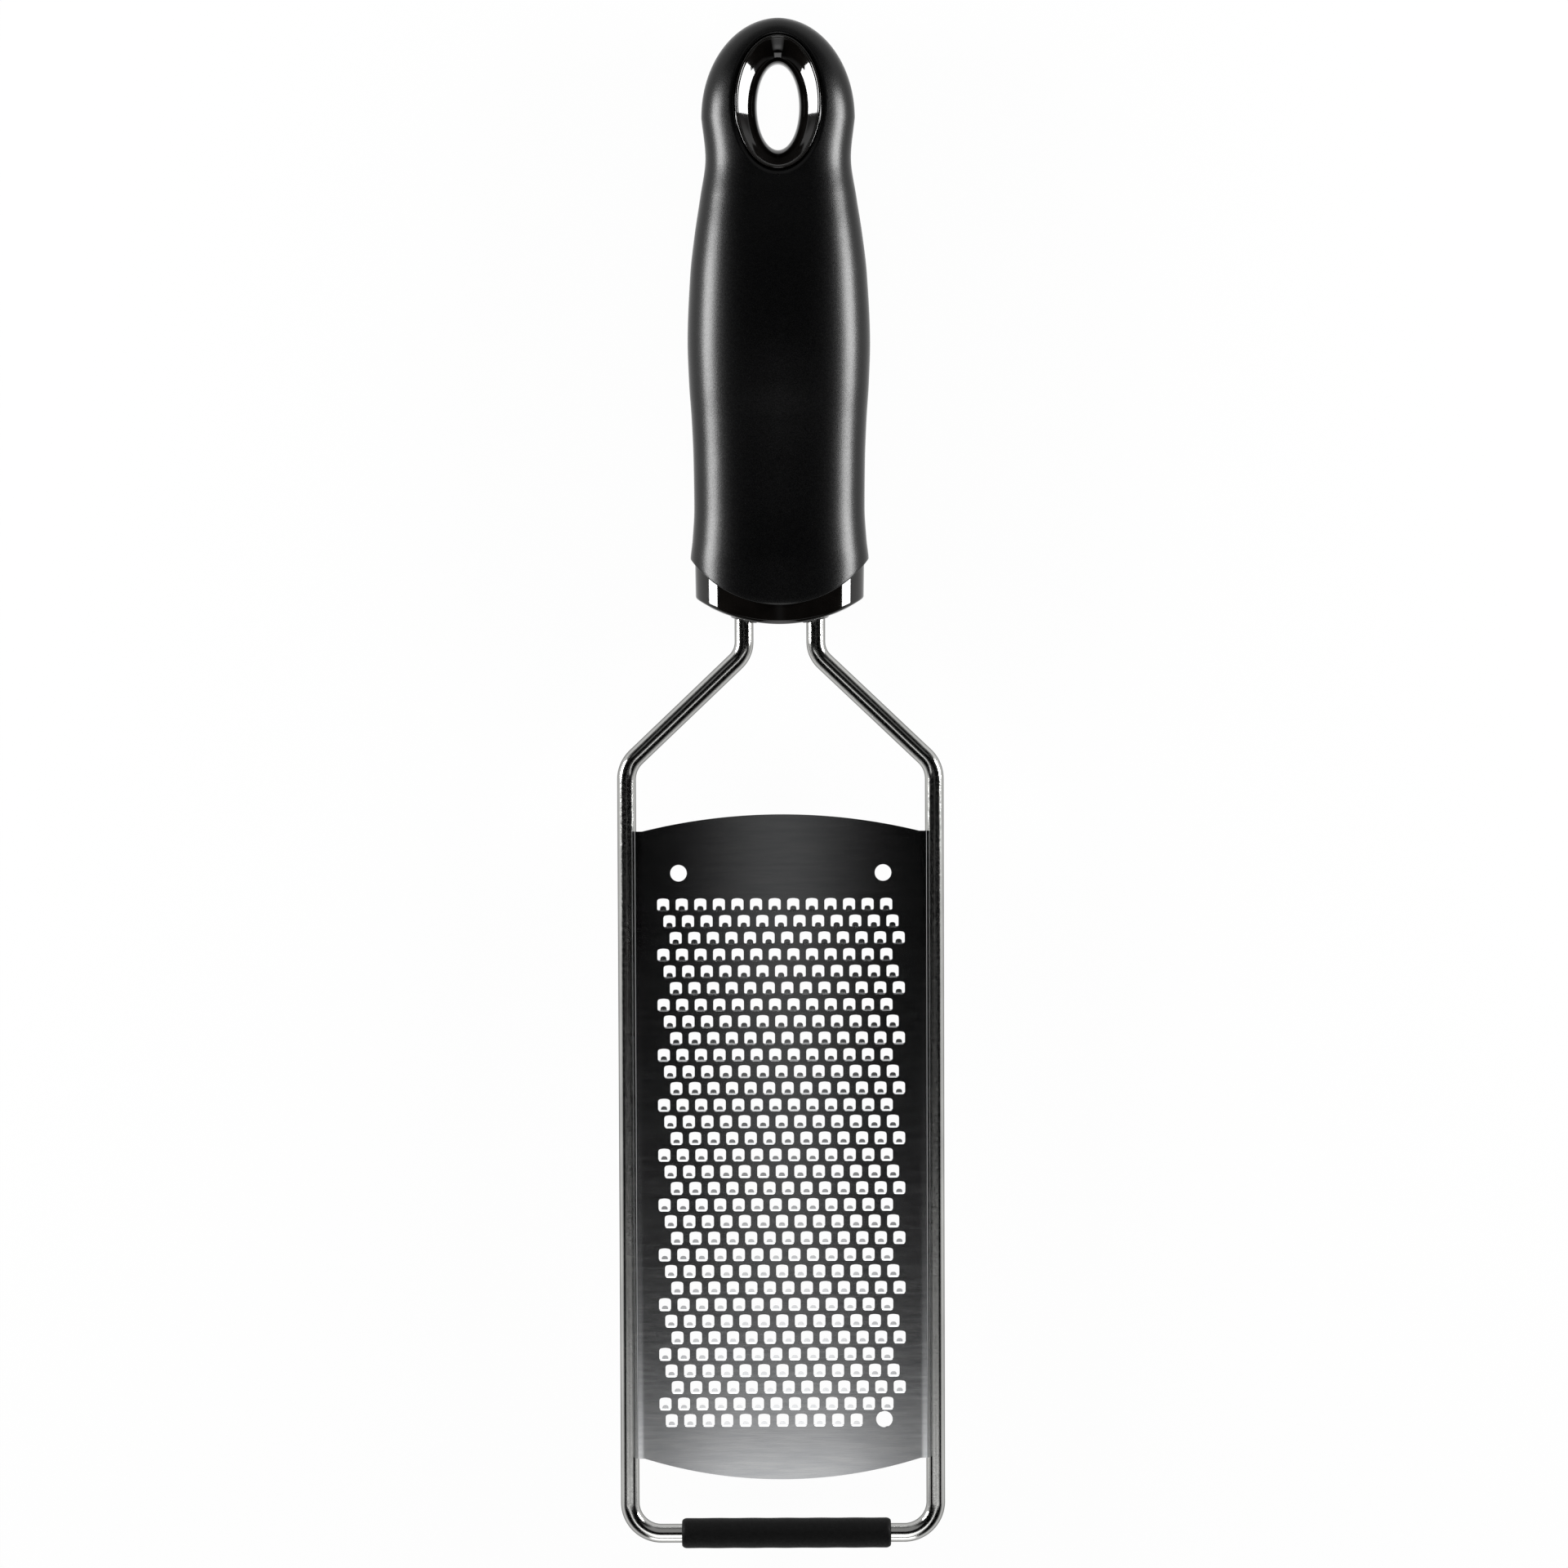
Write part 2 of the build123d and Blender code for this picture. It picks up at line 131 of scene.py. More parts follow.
# station, width, thickness, and steps on the way there: share of the way, share of the change
STATIONS = ((TIP, TIP_WIDTH, TIP_THICKNESS, ()),
            (27.95, 29.3, 17.8, ()),
            (65.0, 36.8, 23.0, ((0.21, 0.285), (0.42, 0.605), (0.63, 0.84))),
            (WAIST, 34.4, 21.2, ((0.24, 0.22), (0.47, 0.64), (0.71, 0.91))),
            (LIP, LIP_WIDTH, 22.0, ((0.6, 0.45),)),
            (COLLAR_END, 36.4, 22.2, ()))


def handle_rows():
    """Station, width and thickness at every place that shapes the handle below its tip."""
    rows, before = [], None
    for station, width, thickness, steps in STATIONS:
        for way, change in steps:
            rows.append((before[0] + way * (station - before[0]),
                         before[1] + change * (width - before[1]),
                         before[2] + change * (thickness - before[2])))
        before = (station, width, thickness)
        rows.append(before)
    return rows


PLACES, WIDTHS, THICKNESSES = zip(*handle_rows())
width_at = smooth_curve(PLACES, WIDTHS)
thickness_at = smooth_curve(PLACES, THICKNESSES)


def handle_half(station):
    """Half width and half thickness of the handle at a station."""
    station = np.asarray(station, float)
    turn = np.arccos(np.clip(1 - station / TIP, 0, 1))
    in_tip = station < TIP
    width = np.where(in_tip, TIP_WIDTH * np.sin(turn), width_at(station))
    thickness = np.where(in_tip, TIP_THICKNESS * np.sin(turn) ** TIP_POWER, thickness_at(station))
    return width / 2, thickness / 2


def grip_height(x, y):
    """Height of the handle's front surface above its middle plane."""
    a, b = handle_half(TOP_Y - np.asarray(y, float))
    return b * np.sqrt(np.clip(1 - (np.asarray(x, float) / np.maximum(a, 1e-6)) ** 2, 0, 1))


def hoop(angle, half, station, inset=0.0):
    """A row of points round the handle at a station, drawn in by an inset."""
    a, b = half
    return np.stack([(a - inset) * np.cos(angle), TOP_Y - station, MID + (b - inset) * np.sin(angle)], 1)


def lip_y(x):
    """The lip's curve in plan: a circle, bulging towards the blade in the middle."""
    centre = TOP_Y - (LIP + LIP_REACH) + LIP_RADIUS
    return centre - np.sqrt(np.maximum(LIP_RADIUS ** 2 - np.asarray(x, float) ** 2, 0.01))


# ---------------------------------------------------------------- shader nodes
NOISE_LOW, NOISE_HIGH = 0.3, 0.7    # nearly all of a noise's values lie between these
EVEN = (1, 1, 1)


def noise(tree, scale, stretch, detail):
    """Noise in the object's own metres; along an axis with a small stretch it turns into streaks."""
    where = tree.nodes.new("ShaderNodeTexCoord")
    mapping = tree.nodes.new("ShaderNodeMapping")
    mapping.inputs["Scale"].default_value = stretch
    texture = tree.nodes.new("ShaderNodeTexNoise")
    texture.inputs["Scale"].default_value = scale
    texture.inputs["Detail"].default_value = detail
    texture.inputs["Roughness"].default_value = 0.6
    tree.links.new(where.outputs["Object"], mapping.inputs["Vector"])
    tree.links.new(mapping.outputs["Vector"], texture.inputs["Vector"])
    return texture.outputs["Fac"]


def spread(tree, value, low, high):
    """Maps a noise's values to a range."""
    node = tree.nodes.new("ShaderNodeMapRange")
    node.inputs["From Min"].default_value = NOISE_LOW
    node.inputs["From Max"].default_value = NOISE_HIGH
    node.inputs["To Min"].default_value = low
    node.inputs["To Max"].default_value = high
    tree.links.new(value, node.inputs["Value"])
    return node.outputs["Result"]


def ramp_node(tree, value, stops):
    """A ramp through stops, each a place and a colour. No place but the last two passes 0.5."""
    node = tree.nodes.new("ShaderNodeValToRGB")
    ramp = node.color_ramp
    while len(ramp.elements) < len(stops):
        ramp.elements.new(0.5)
    for element, (place, colour) in zip(ramp.elements, stops):
        element.position = place
        element.color = (*colour, 1)
    tree.links.new(value, node.inputs["Fac"])
    return node.outputs["Color"]


def math_node(tree, kind, *values):
    """A sum or a function of values, each a number or another node's output."""
    node = tree.nodes.new("ShaderNodeMath")
    node.operation = kind
    for socket, value in zip(node.inputs, values):
        if isinstance(value, (int, float)):
            socket.default_value = value
        else:
            tree.links.new(value, socket)
    return node.outputs[0]


def bow_height(tree):
    """The blade's slight bow across its width, in metres."""
    bow = -0.9      # per metre
    where = tree.nodes.new("ShaderNodeTexCoord")
    split = tree.nodes.new("ShaderNodeSeparateXYZ")
    tree.links.new(where.outputs["Object"], split.inputs[0])
    return math_node(tree, "MULTIPLY", math_node(tree, "POWER", split.outputs["X"], 2.0), bow)


# ---------------------------------------------------------------- materials
def make_material(name, tint, colours, gloss, roughness, relief, settings, bowed=False):
    """A material whose colour, roughness and relief follow noise.

    A noise is given by its scale, stretch and detail. Relief is noises with their heights in metres.
    """
    material = bpy.data.materials.new(name)
    material.use_nodes = True
    tree = material.node_tree
    shader = tree.nodes["Principled BSDF"]
    for socket, value in settings.items():
        shader.inputs[socket].default_value = value
    stops = tuple(zip((NOISE_LOW, NOISE_HIGH), colours))
    tree.links.new(ramp_node(tree, noise(tree, *tint), stops), shader.inputs["Base Color"])
    tree.links.new(spread(tree, noise(tree, *gloss), *roughness), shader.inputs["Roughness"])
    layers = [(noise(tree, *grain), height) for grain, height in relief]
    if bowed:
        layers.insert(0, (bow_height(tree), 1.0))
    normal = None
    for value, height in layers:
        bump = tree.nodes.new("ShaderNodeBump")
        bump.inputs["Distance"].default_value = height
        bump.inputs["Strength"].default_value = 1.0
        tree.links.new(value, bump.inputs["Height"])
        if normal is not None:
            tree.links.new(normal, bump.inputs["Normal"])
        normal = bump.outputs["Normal"]
    tree.links.new(normal, shader.inputs["Normal"])
    return material


SOFT = make_material("soft_grip", (900, EVEN, 4), ((0.0006, 0.0006, 0.0007), (0.0014, 0.0014, 0.0015)),
                     (2600, EVEN, 2), (0.24, 0.29),
                     (((5200, EVEN, 1.5), 0.000009), ((320, EVEN, 2), 0.000012)), {"IOR": 1.31})
GLOSS = make_material("gloss_black", (140, EVEN, 3), ((0.0016, 0.0014, 0.0012), (0.004, 0.0034, 0.003)),
                      (700, EVEN, 5), (0.035, 0.075),
                      (((90, EVEN, 1), 0.00001),), {"IOR": 1.46})
ROD = make_material("polished_rod", (60, EVEN, 3), ((0.42, 0.42, 0.41), (0.52, 0.52, 0.505)),
                    (1500, EVEN, 5), (0.09, 0.17),
                    (((1800, (1, 0.06, 1), 2), 0.000004), ((5200, EVEN, 2), 0.000005)),
                    {"Metallic": 1.0, "Specular Tint": (0.25, 0.25, 0.25, 1)})
BLADE = make_material("blade_steel", (900, (0.12, 1, 1), 5), ((0.55, 0.56, 0.575), (0.64, 0.645, 0.65)),
                      (1500, (0.15, 1, 1), 4), (0.07, 0.095),
                      (((4200, (0.05, 1, 1), 3), 0.0000004), ((5200, EVEN, 3), 0.0000004)),
                      {"Metallic": 1.0}, bowed=True)
WELD = make_material("weld_steel", (1500, EVEN, 4), ((0.30, 0.28, 0.25), (0.55, 0.54, 0.52)),
                     (2500, EVEN, 3), (0.3, 0.5),
                     (((3500, EVEN, 3), 0.00003),), {"Metallic": 1.0})
FOOT = make_material("foot_rubber", (1200, EVEN, 4), ((0.0015, 0.0015, 0.0015), (0.003, 0.003, 0.003)),
                     (1800, EVEN, 3), (0.5, 0.66),
                     (((3800, EVEN, 3), 0.00002),), {"IOR": 1.2})
CORE = make_material("core_plastic", (800, EVEN, 4), ((0.03, 0.03, 0.03), (0.06, 0.06, 0.06)),
                     (1800, EVEN, 3), (0.45, 0.6),
                     (((2500, EVEN, 2), 0.00001),), {})

# ---------------------------------------------------------------- sleeve
RING_Y = TOP_Y - 17.25          # the ring's outer oval, and the narrow oval halfway through it
RING_HALF = (8.6, 13.4)
NARROW_Y = TOP_Y - 17.86
NARROW_HALF = (4.2, 8.6)


def open_for_ring(points, faces):
    """Takes out the faces over the hang hole, on both sides, and closes the gap with rolled rims."""
    gap, fillet, wall = 0.1, 1.1, 0.9
    hole = (RING_HALF[0] + gap, RING_HALF[1] + gap)
    outer = (hole[0] + fillet, hole[1] + fillet)
    inside = (points[:, 0] / outer[0]) ** 2 + ((points[:, 1] - RING_Y) / outer[1]) ** 2 < 1.0
    faces = [quad for quad in faces if not all(inside[i] for i in quad)]

    def turn_at(i):
        return math.atan2((points[i][1] - RING_Y) / outer[1], points[i][0] / outer[0])

    # points inside the oval that a kept face still uses are moved out to it
    moved = [i for i in {i for quad in faces for i in quad} if inside[i]]
    for i in moved:
        turn = turn_at(i)
        x, y = outer[0] * math.cos(turn), RING_Y + outer[1] * math.sin(turn)
        side = 1 if points[i][2] > MID else -1
        points[i] = (x, y, MID + side * float(grip_height(x, y)))
    verts = [tuple(p) for p in points]
    steps = [(fillet * (1 - math.sin(t)), fillet * (1 - math.cos(t))) for t in quarter(8)]
    steps.append((0.0, fillet + wall))
    for side in (1, -1):
        before = sorted([i for i in moved if (points[i][2] - MID) * side > 0], key=turn_at)
        turns = [turn_at(i) for i in before]
        for reach, drop in steps:
            row = []
            for turn in turns:
                x = (hole[0] + reach) * math.cos(turn)
                y = RING_Y + (hole[1] + reach) * math.sin(turn)
                row.append(len(verts))
                verts.append((x, y, MID + side * (float(grip_height(x, y)) - drop)))
            for c in range(len(row)):
                d = (c + 1) % len(row)
                quad = (before[c], before[d], row[d], row[c])
                faces.append(quad if side > 0 else quad[::-1])
            before = row
    return verts, faces


def make_sleeve():
    columns = 288
    angle = circle(columns)
    roll = 0.4              # radius of the lip's edge
    squeeze = 95.0          # from here on the rows bend over to follow the lip
    lip_end = np.full(columns, LIP)
    for _ in range(30):
        half_width, _half_thickness = handle_half(lip_end)
        lip_end = TOP_Y - lip_y(half_width * np.cos(angle))
    tip = TIP * (1 - np.cos(np.linspace(0.02, TURN / 4, 70)))
    body = np.linspace(TIP, squeeze, 190)[1:]
    stations = [np.full(columns, station) for station in np.concatenate([tip, body])]
    stations += [squeeze + share * (lip_end - roll - squeeze) for share in np.linspace(0, 1, 26)[1:]]
    rows = [hoop(angle, handle_half(station), station) for station in stations]
    # rolled edge of the lip, then the wall's end face
    for turn in quarter(7):
        station = lip_end - roll + roll * math.sin(turn)
        rows.append(hoop(angle, handle_half(station), station, roll * (1 - math.cos(turn))))
    for inset in (1.3, 1.88):
        rows.append(hoop(angle, handle_half(lip_end), lip_end, inset))
    verts, faces = open_for_ring(np.concatenate(rows), grid_faces(len(rows), columns))
    # the closed tip
    hub = len(verts)
    verts.append((0, TOP_Y, MID))
    faces += [(hub, (c + 1) % columns, c) for c in range(columns)]
    piece = mesh_piece("grip_sleeve_skin", verts, [face[::-1] for face in faces], SOFT, 60)
    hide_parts("grip_sleeve")


make_sleeve()

# ---------------------------------------------------------------- hang ring
# the bell mouth: share of the way up, share of the way out
mouth = smooth_curve((0, 0.3, 0.45, 0.6, 0.765, 0.88, 1.0), (0, 0.02, 0.07, 0.2, 0.47, 0.73, 1.0))


def make_ring(name, side):
    """Half of the ring: a wall in the sleeve, a rounded rim, and a bell mouth down to the middle."""
    columns, rows = 160, []
    turn = circle(columns)
    outer_x, outer_y = RING_HALF[0] * np.cos(turn), RING_Y + RING_HALF[1] * np.sin(turn)
    narrow_x, narrow_y = NARROW_HALF[0] * np.cos(turn), NARROW_Y + NARROW_HALF[1] * np.sin(turn)
    sunk, rim_radius, rim_drop, rim_rise = 0.05, 0.32, 0.4, 0.3
    rim = grip_height(outer_x, outer_y) - sunk
    for drop in (2.2, 1.0, rim_drop):
        rows.append(np.stack([outer_x, outer_y, rim - drop], 1))
    for t in np.linspace(TURN / 2, 0, 9):
        inward = rim_radius * (1 + math.cos(t))
        height = rim - rim_drop + rim_radius * math.sin(t) + rim_rise * (1 - math.cos(t)) / 2
        rows.append(np.stack([outer_x - inward * np.cos(turn), outer_y - inward * np.sin(turn), height], 1))
    mouth_x = outer_x - 2 * rim_radius * np.cos(turn)
    mouth_y = outer_y - 2 * rim_radius * np.sin(turn)
    for share in np.linspace(1, 0, 30):
        up = 1 - (1 - share) ** 1.4
        out = float(mouth(up))
        rows.append(np.stack([narrow_x + out * (mouth_x - narrow_x),
                              narrow_y + out * (mouth_y - narrow_y), (rim - rim_drop) * up], 1))
    points = np.concatenate(rows)
    points[:, 2] = MID + side * points[:, 2]
    piece = mesh_piece(name + "_skin", points, grid_faces(len(rows), columns, flip=side < 0), GLOSS, 50)
    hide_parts(name)


make_ring("hang_ring_front", 1)
make_ring("hang_ring_rear", -1)

# ---------------------------------------------------------------- collar
TANG_X = 7.25       # where the two tangs enter the collar


def make_collar():
    columns = 240
    angle = circle(columns)
    back_half, front_half = (17.25, 10.3), (16.85, 10.0)
    end_rise, edge, tuck, dish = 4.7, 0.75, 1.6, 0.15
    radius = (front_half[0] ** 2 + end_rise ** 2) / (2 * end_rise)

    def half(station):
        t = (station - WAIST) / (COLLAR_END - WAIST)
        return tuple(back + t * (front - back) for back, front in zip(back_half, front_half))

    def end_station(x):
        centre = TOP_Y - HANDLE + radius
        return TOP_Y - (centre - np.sqrt(np.maximum(radius ** 2 - x ** 2, 0.01)))

    start, end = np.full(columns, LIP), np.full(columns, HANDLE - 4.0)
    for _ in range(30):
        start = TOP_Y - lip_y(half(start)[0] * np.cos(angle))
        end = end_station(half(end)[0] * np.cos(angle))
    rows = []
    for share in np.linspace(0, 1, 24):
        station = start - tuck + share * (end - edge - start + tuck)
        rows.append(hoop(angle, half(station), station))
    for turn in quarter(8):
        station = end - edge + edge * math.sin(turn)
        rows.append(hoop(angle, half(station), station, edge * (1 - math.cos(turn))))
    # the end face, an upright curved wall with a slightly dished middle
    a, b = half(end)
    for share in (0.86, 0.7, 0.5, 0.3, 0.1):
        x = (a - edge) * np.cos(angle) * share
        z = (b - edge) * np.sin(angle) * share
        rows.append(np.stack([x, TOP_Y - end_station(x) + dish * (1 - share), MID + z], 1))
    points = [tuple(p) for p in np.concatenate(rows)]
    faces = grid_faces(len(rows), columns, flip=True)
    last = (len(rows) - 1) * columns
    points.append((0, TOP_Y - HANDLE + dish, MID))
    faces += [(len(points) - 1, last + (c + 1) % columns, last + c) for c in range(columns)]
    # raised seats where the tangs enter: how far in, and the radius there
    seat = ((0.6, 2.75), (-0.12, 2.7), (-0.3, 2.5), (-0.3, 2.05), (0.5, 2.0))
    seat_columns = 32
    for side in (1, -1):
        first = len(points)
        for depth, seat_radius in seat:
            for t in circle(seat_columns):
                x = side * TANG_X + seat_radius * math.cos(t)
                points.append((x, TOP_Y - float(end_station(x)) + depth, MID + seat_radius * math.sin(t)))
        faces += grid_faces(len(seat), seat_columns, start=first)
    piece = mesh_piece("collar_skin", points, faces, GLOSS, 50)
    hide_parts("collar")


make_collar()

# ---------------------------------------------------------------- frame rod
ROD_R = 1.9
ROD_X = 31.15
END_Y = -151.95     # the rod across the frame's end
ARC_STEP, RUN_STEP = 0.35, 2.5


def rounded_path(points, radii):
    """Points along a bent wire: straight runs joined by arcs."""
    path = [np.array(points[0], float)]
    for i in range(1, len(points) - 1):
        p, q, r = (np.array(points[j], float) for j in (i - 1, i, i + 1))
        u, v = (p - q) / np.linalg.norm(p - q), (r - q) / np.linalg.norm(r - q)
        bend = math.pi - math.acos(float(np.clip(u @ v, -1, 1)))
        cut = radii[i - 1] * math.tan(bend / 2)
        a, b = q + u * cut, q + v * cut
        centre = q + (u + v) / np.linalg.norm(u + v) * radii[i - 1] / math.cos(bend / 2)
        steps = max(6, int(radii[i - 1] * bend / ARC_STEP))
        d, e = a - centre, b - centre
        turn = math.copysign(bend, d[0] * e[1] - d[1] * e[0])
        for k in range(steps + 1):
            t = turn * k / steps
            path.append(centre + np.array([d[0] * math.cos(t) - d[1] * math.sin(t),
                                           d[0] * math.sin(t) + d[1] * math.cos(t)]))
    path.append(np.array(points[-1], float))
    full = [path[0]]
    for p in path[1:]:
        gap = np.linalg.norm(p - full[-1])
        if gap < 1e-4:
            continue
        pieces = max(1, int(gap / RUN_STEP))
        start = full[-1]
        full += [start + (p - start) * (k + 1) / pieces for k in range(pieces)]
    return full


def tube(path, radius):
    """A round tube along a path in the rod's plane, closed at both ends."""
    around, verts, n = 40, [], len(path)
    for i, p in enumerate(path):
        d = path[min(i + 1, n - 1)] - path[max(i - 1, 0)]
        d = d / np.linalg.norm(d)
        side = np.array([d[1], -d[0]])
        for t in circle(around):
            off = side * radius * math.cos(t)
            verts.append((p[0] + off[0], p[1] + off[1], MID + radius * math.sin(t)))
    faces = grid_faces(n, around, flip=True)
    for end, order in ((0, 1), (n - 1, -1)):
        hub = len(verts)
        verts.append((path[end][0], path[end][1], MID))
        ring = [end * around + c for c in range(around)]
        faces += [(hub, ring[c], ring[(c + 1) % around])[::order] for c in range(around)]
    return verts, faces


def make_rod():
    hook_x, hook_y, neck_y, shoulder_y = 13.25, TOP_Y - HANDLE + 57.96, 27.4, 4.7
    half_wire = [(hook_x, hook_y), (TANG_X, hook_y), (TANG_X, neck_y), (ROD_X, shoulder_y), (ROD_X, END_Y)]
    bends = [3.6, 5.5, 6.3, 6.4]
    wire = half_wire + [(-x, y) for x, y in reversed(half_wire)]
    verts, faces = tube(rounded_path(wire, bends + bends[::-1]), ROD_R)
    piece = mesh_piece("frame_rod_wire", verts, faces, ROD, 40)
    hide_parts("frame_rod")


make_rod()


# ---------------------------------------------------------------- end foot
def make_foot():
    half, outer, bore, edge = 21.3, 3.05, 1.95, 1.15
    off_centre = 0.7
    wave, waves = 0.02, 0.9         # a faint swell along the sleeve
    inner = [(-half + 0.5, bore), (-half + 0.12, bore + 0.12), (-half, bore + 0.45)]
    rounded = [(-half + edge * (1 - math.sin(t)) * 0.9, outer - edge * (1 - math.cos(t)) * 0.6)
               for t in np.linspace(0, TURN / 4, 9)]
    middle = [(x, outer + wave * math.cos(x * waves)) for x in np.linspace(-half + 2.5, half - 2.5, 60)]
    start = inner + sorted(rounded)
    profile = start + middle + [(-x, r) for x, r in reversed(start)]
    columns, points = 64, []
    for x, r in profile:
        for t in circle(columns):
            points.append((x + off_centre, END_Y + r * math.cos(t), MID + r * math.sin(t)))
    piece = mesh_piece("end_foot_sleeve", points, grid_faces(len(profile), columns, flip=True), FOOT, 35)
    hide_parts("end_foot")


make_foot()

# ---------------------------------------------------------------- blade
FACE_X = 29.305         # half width of the face between the folds
FACE_Z = 14.295
SHEET = 0.4
START_Y = -8.4          # the end of each folded side that is nearer the handle
SIDE = 127.7
START_RISE, END_RISE = 3.4, 4.3
LAND_X = FACE_X - 1.3
FOLD, FOLD_R = math.radians(60), 0.22
TEETH, TOOTH_ROWS = 13, 32
PITCH = 3.757
ROW = 3.387
FIRST_Y = START_Y - 14.75
WINDOW = (0.647 * PITCH, 0.697 * ROW)
TAB = 0.22              # thickness of a raised tooth
HOLE_R = 1.675
PAIR_Y = START_Y - 8.45


def tooth_columns(row):
    """Where a row's teeth stand across the sheet; the last row leaves room for a hole."""
    shift = (row % 3 - 1) * PITCH / 3
    count = TEETH - (2 if row == TOOTH_ROWS - 1 else 0)
    return [(column - (TEETH - 1) / 2) * PITCH + shift for column in range(count)]


class Sheet:
    """Collects points and faces of the sheet, joining points that coincide."""

    def __init__(self):
        self.points, self.faces, self.index = [], [], {}

    def point(self, x, y, z=FACE_Z):
        key = (round(x, 3), round(y, 3), round(z, 3))
        if key not in self.index:
            self.index[key] = len(self.points)
            self.points.append((x, y, z))
        return self.index[key]

    def face(self, *corners):
        ids = [self.point(*corner) for corner in corners]
        ids = [i for n, i in enumerate(ids) if i != ids[n - 1]]
        if len(ids) > 2:
            self.faces.append(ids)


def corner(x, y, radius, degrees):
    """Points round the corner of an outline."""
    return [(x + radius * math.cos(math.radians(t)), y + radius * math.sin(math.radians(t)))
            for t in degrees]


def window_loop():
    """A tooth window's outline from its lower left corner, anticlockwise, as offsets from its centre."""
    w, l = WINDOW[0] / 2, WINDOW[1] / 2
    tight, wide = 0.25, 0.55        # corner radii at the tooth's root and at the far edge
    crest, drop = 0.02, 0.07        # the far edge is a little arched
    outline = [(x, -l) for x in (-w + tight, -0.62, -0.3, 0, 0.3, 0.62, w - tight)]
    outline += corner(w - tight, -l + tight, tight, (-60, -30, 0))
    outline += corner(w - wide, l - wide - drop, wide, (0, 22, 45, 68, 90))
    outline += [(0.35, l - crest), (0, l), (-0.35, l - crest)]
    outline += corner(-w + wide, l - wide - drop, wide, (90, 112, 135, 158, 180))
    outline += corner(-w + tight, -l + tight, tight, (180, 210, 240))
    return outline


def spokes(sheet, outline, cx, cy, border):
    """Fills between a closed inner outline and a closed border, nearest angle to nearest angle."""
    def turn_at(p):
        return math.atan2(p[1] - cy, p[0] - cx)

    def with_turns(points):
        points = sorted(points, key=turn_at)
        return points, [turn_at(p) for p in points] + [turn_at(points[0]) + TURN]

    inner, inner_turns = with_turns([(cx + x, cy + y) for x, y in outline])
    outer, outer_turns = with_turns(border)
    i, j = 0, 0
    while i < len(inner) or j < len(outer):
        a, b = inner[i % len(inner)], outer[j % len(outer)]
        if j >= len(outer) or (i < len(inner) and inner_turns[i + 1] <= outer_turns[j + 1]):
            i += 1
            sheet.face(a, b, inner[i % len(inner)])
        else:
            j += 1
            sheet.face(a, b, outer[j % len(outer)])


def box_border(xs, ys):
    """The border of a rectangle with points at the given places."""
    return ([(x, ys[0]) for x in xs] + [(xs[-1], y) for y in ys[1:-1]]
            + [(x, ys[-1]) for x in xs] + [(xs[0], y) for y in ys[1:-1]])


def row_border(row):
    """The line between two rows of teeth; row 0's upper line is border 0."""
    return FIRST_Y + ROW / 2 - row * ROW


def lattice():
    """Places across the sheet: the cell borders of all rows, and the face's two edges."""
    xs = [PITCH / 6 + k * PITCH / 3 for k in range(-24, 24)]
    xs = [x for x in xs if abs(x) < LAND_X - SHEET]
    return [-FACE_X, -LAND_X] + xs + [LAND_X, FACE_X]


def arch(x, y_side, rise):
    """The blade's arched end in plan, with a short level land at each side."""
    if abs(x) >= LAND_X:
        return y_side
    radius = (LAND_X ** 2 + rise ** 2) / (2 * abs(rise))
    return y_side + math.copysign(1, rise) * (math.sqrt(radius ** 2 - x ** 2) - radius + abs(rise))


def fill_band(sheet, xs, ys, openings):
    """Fills a band of the sheet; openings are (outline, centre x, centre y, half width of the cell)."""
    covered = []
    for outline, cx, cy, half in openings:
        cell = [x for x in xs if cx - half - 0.01 < x < cx + half + 0.01]
        covered.append((cell[0], cell[-1]))
        spokes(sheet, outline, cx, cy, box_border(cell, ys))
    for x0, x1 in zip(xs, xs[1:]):
        if any(a < (x0 + x1) / 2 < b for a, b in covered):
            continue
        for a, b in zip(ys, ys[1:]):
            sheet.face((x0, a), (x1, a), (x1, b), (x0, b))


def even_levels(y0, y1, parts):
    return [y0 + (y1 - y0) * k / parts for k in range(parts)] + [y1]


def make_sheet():
    """The face with its windows and holes, its arched ends and its folded sides."""
    sheet = Sheet()
    xs = lattice()
    hole = [(HOLE_R * math.cos(t), HOLE_R * math.sin(t)) for t in circle(48)]
    hole_x, hole_half = 5.5 * PITCH, PITCH * 2 / 3
    loop = window_loop()
    for row in range(TOOTH_ROWS):
        y = FIRST_Y - row * ROW
        openings = [(loop, x, y, PITCH / 2) for x in tooth_columns(row)]
        if row == TOOTH_ROWS - 1:
            openings.append((hole, hole_x, y, hole_half))
        fill_band(sheet, xs, even_levels(row_border(row + 1), row_border(row), 3), openings)
    fill_band(sheet, xs, even_levels(row_border(0), PAIR_Y - hole_half, 2), [])
    fill_band(sheet, xs, even_levels(PAIR_Y - hole_half, PAIR_Y + hole_half, 4),
              [(hole, side * hole_x, PAIR_Y, hole_half) for side in (-1, 1)])
    ends = ((PAIR_Y + hole_half, START_Y, START_RISE), (row_border(TOOTH_ROWS), START_Y - SIDE, -END_RISE))
    parts = 6
    for y_near, y_side, rise in ends:
        for a, b in zip(xs, xs[1:]):
            ya, yb = arch(a, y_side, rise), arch(b, y_side, rise)
            for k in range(parts):
                f0, f1 = k / parts, (k + 1) / parts
                quad = [(a, y_near + (ya - y_near) * f0), (b, y_near + (yb - y_near) * f0),
                        (b, y_near + (yb - y_near) * f1), (a, y_near + (ya - y_near) * f1)]
                sheet.face(*(quad if rise > 0 else quad[::-1]))
    fold_sides(sheet)
    return sheet


